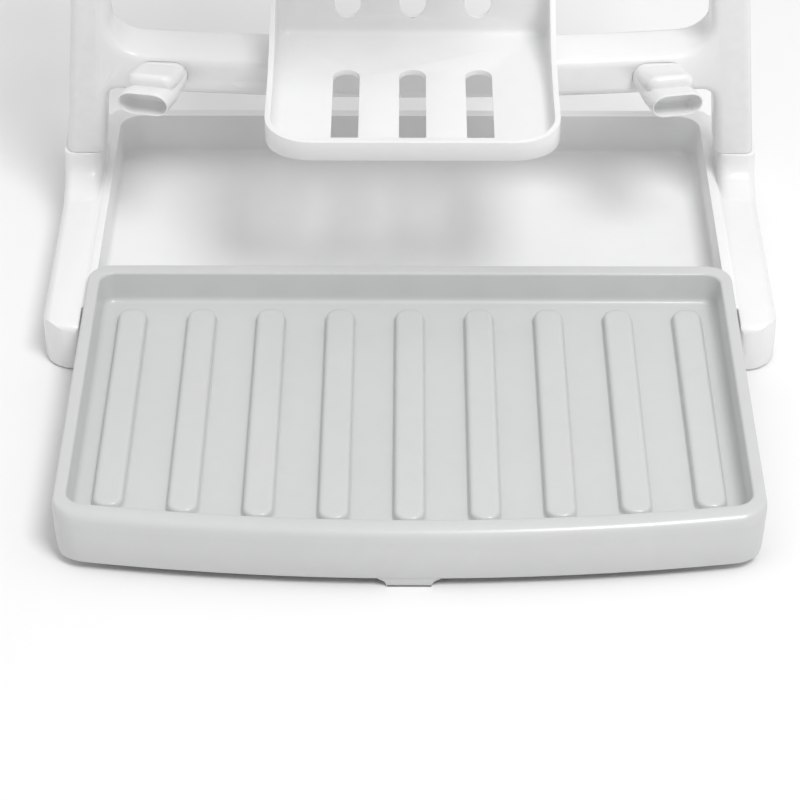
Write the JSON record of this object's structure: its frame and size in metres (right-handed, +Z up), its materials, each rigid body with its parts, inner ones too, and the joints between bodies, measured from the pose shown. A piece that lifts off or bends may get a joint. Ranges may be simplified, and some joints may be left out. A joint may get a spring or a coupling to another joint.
{
  "type": "baby bottle drying rack",
  "caption": "Upright drying rack for baby bottles: low tub with side runners, arched frame with crossbars, bottle pegs, accessory baskets and a ribbed slide-out drip tray.",
  "frame": {"origin": "on the table, under the middle of the whole object's box with the tray pulled out", "axes": "+Z up, -Y towards the front where the tray slides out, +X to the right seen from the front"},
  "size_m": [0.2804, 0.2784, 0.365],
  "materials": {
    "white": "satin gloss moulded plastic",
    "grey": "satin gloss moulded plastic",
    "pad": "soft elastomer"
  },
  "bodies": {
    "base": {"base_tub": "white", "foot_pad_1": "pad", "foot_pad_2": "pad", "foot_pad_3": "pad", "foot_pad_4": "pad"},
    "tray": {"drip_tray": "grey"},
    "arch": {"arch_frame": "white", "peg_lower_left": "white", "peg_lower_right": "white", "peg_upper_left": "white", "peg_upper_right": "white"},
    "lower_basket": {"basket_lower": "white"},
    "upper_basket": {"basket_upper": "white"}
  },
  "joints": [
    {"name": "tray_slide", "type": "slide", "parent": "base", "child": "tray", "axis": [0, -1, 0], "range_m": [-0.115, 0.02]},
    {"name": "arch_lift", "type": "slide", "parent": "base", "child": "arch", "axis": [0, 0, 1], "range_m": [0, 0.03]},
    {"name": "lower_basket_lift", "type": "slide", "parent": "arch", "child": "lower_basket", "axis": [0, 0, 1], "range_m": [0, 0.03]},
    {"name": "upper_basket_lift", "type": "slide", "parent": "arch", "child": "upper_basket", "axis": [0, 0, 1], "range_m": [0, 0.03]}
  ]
}
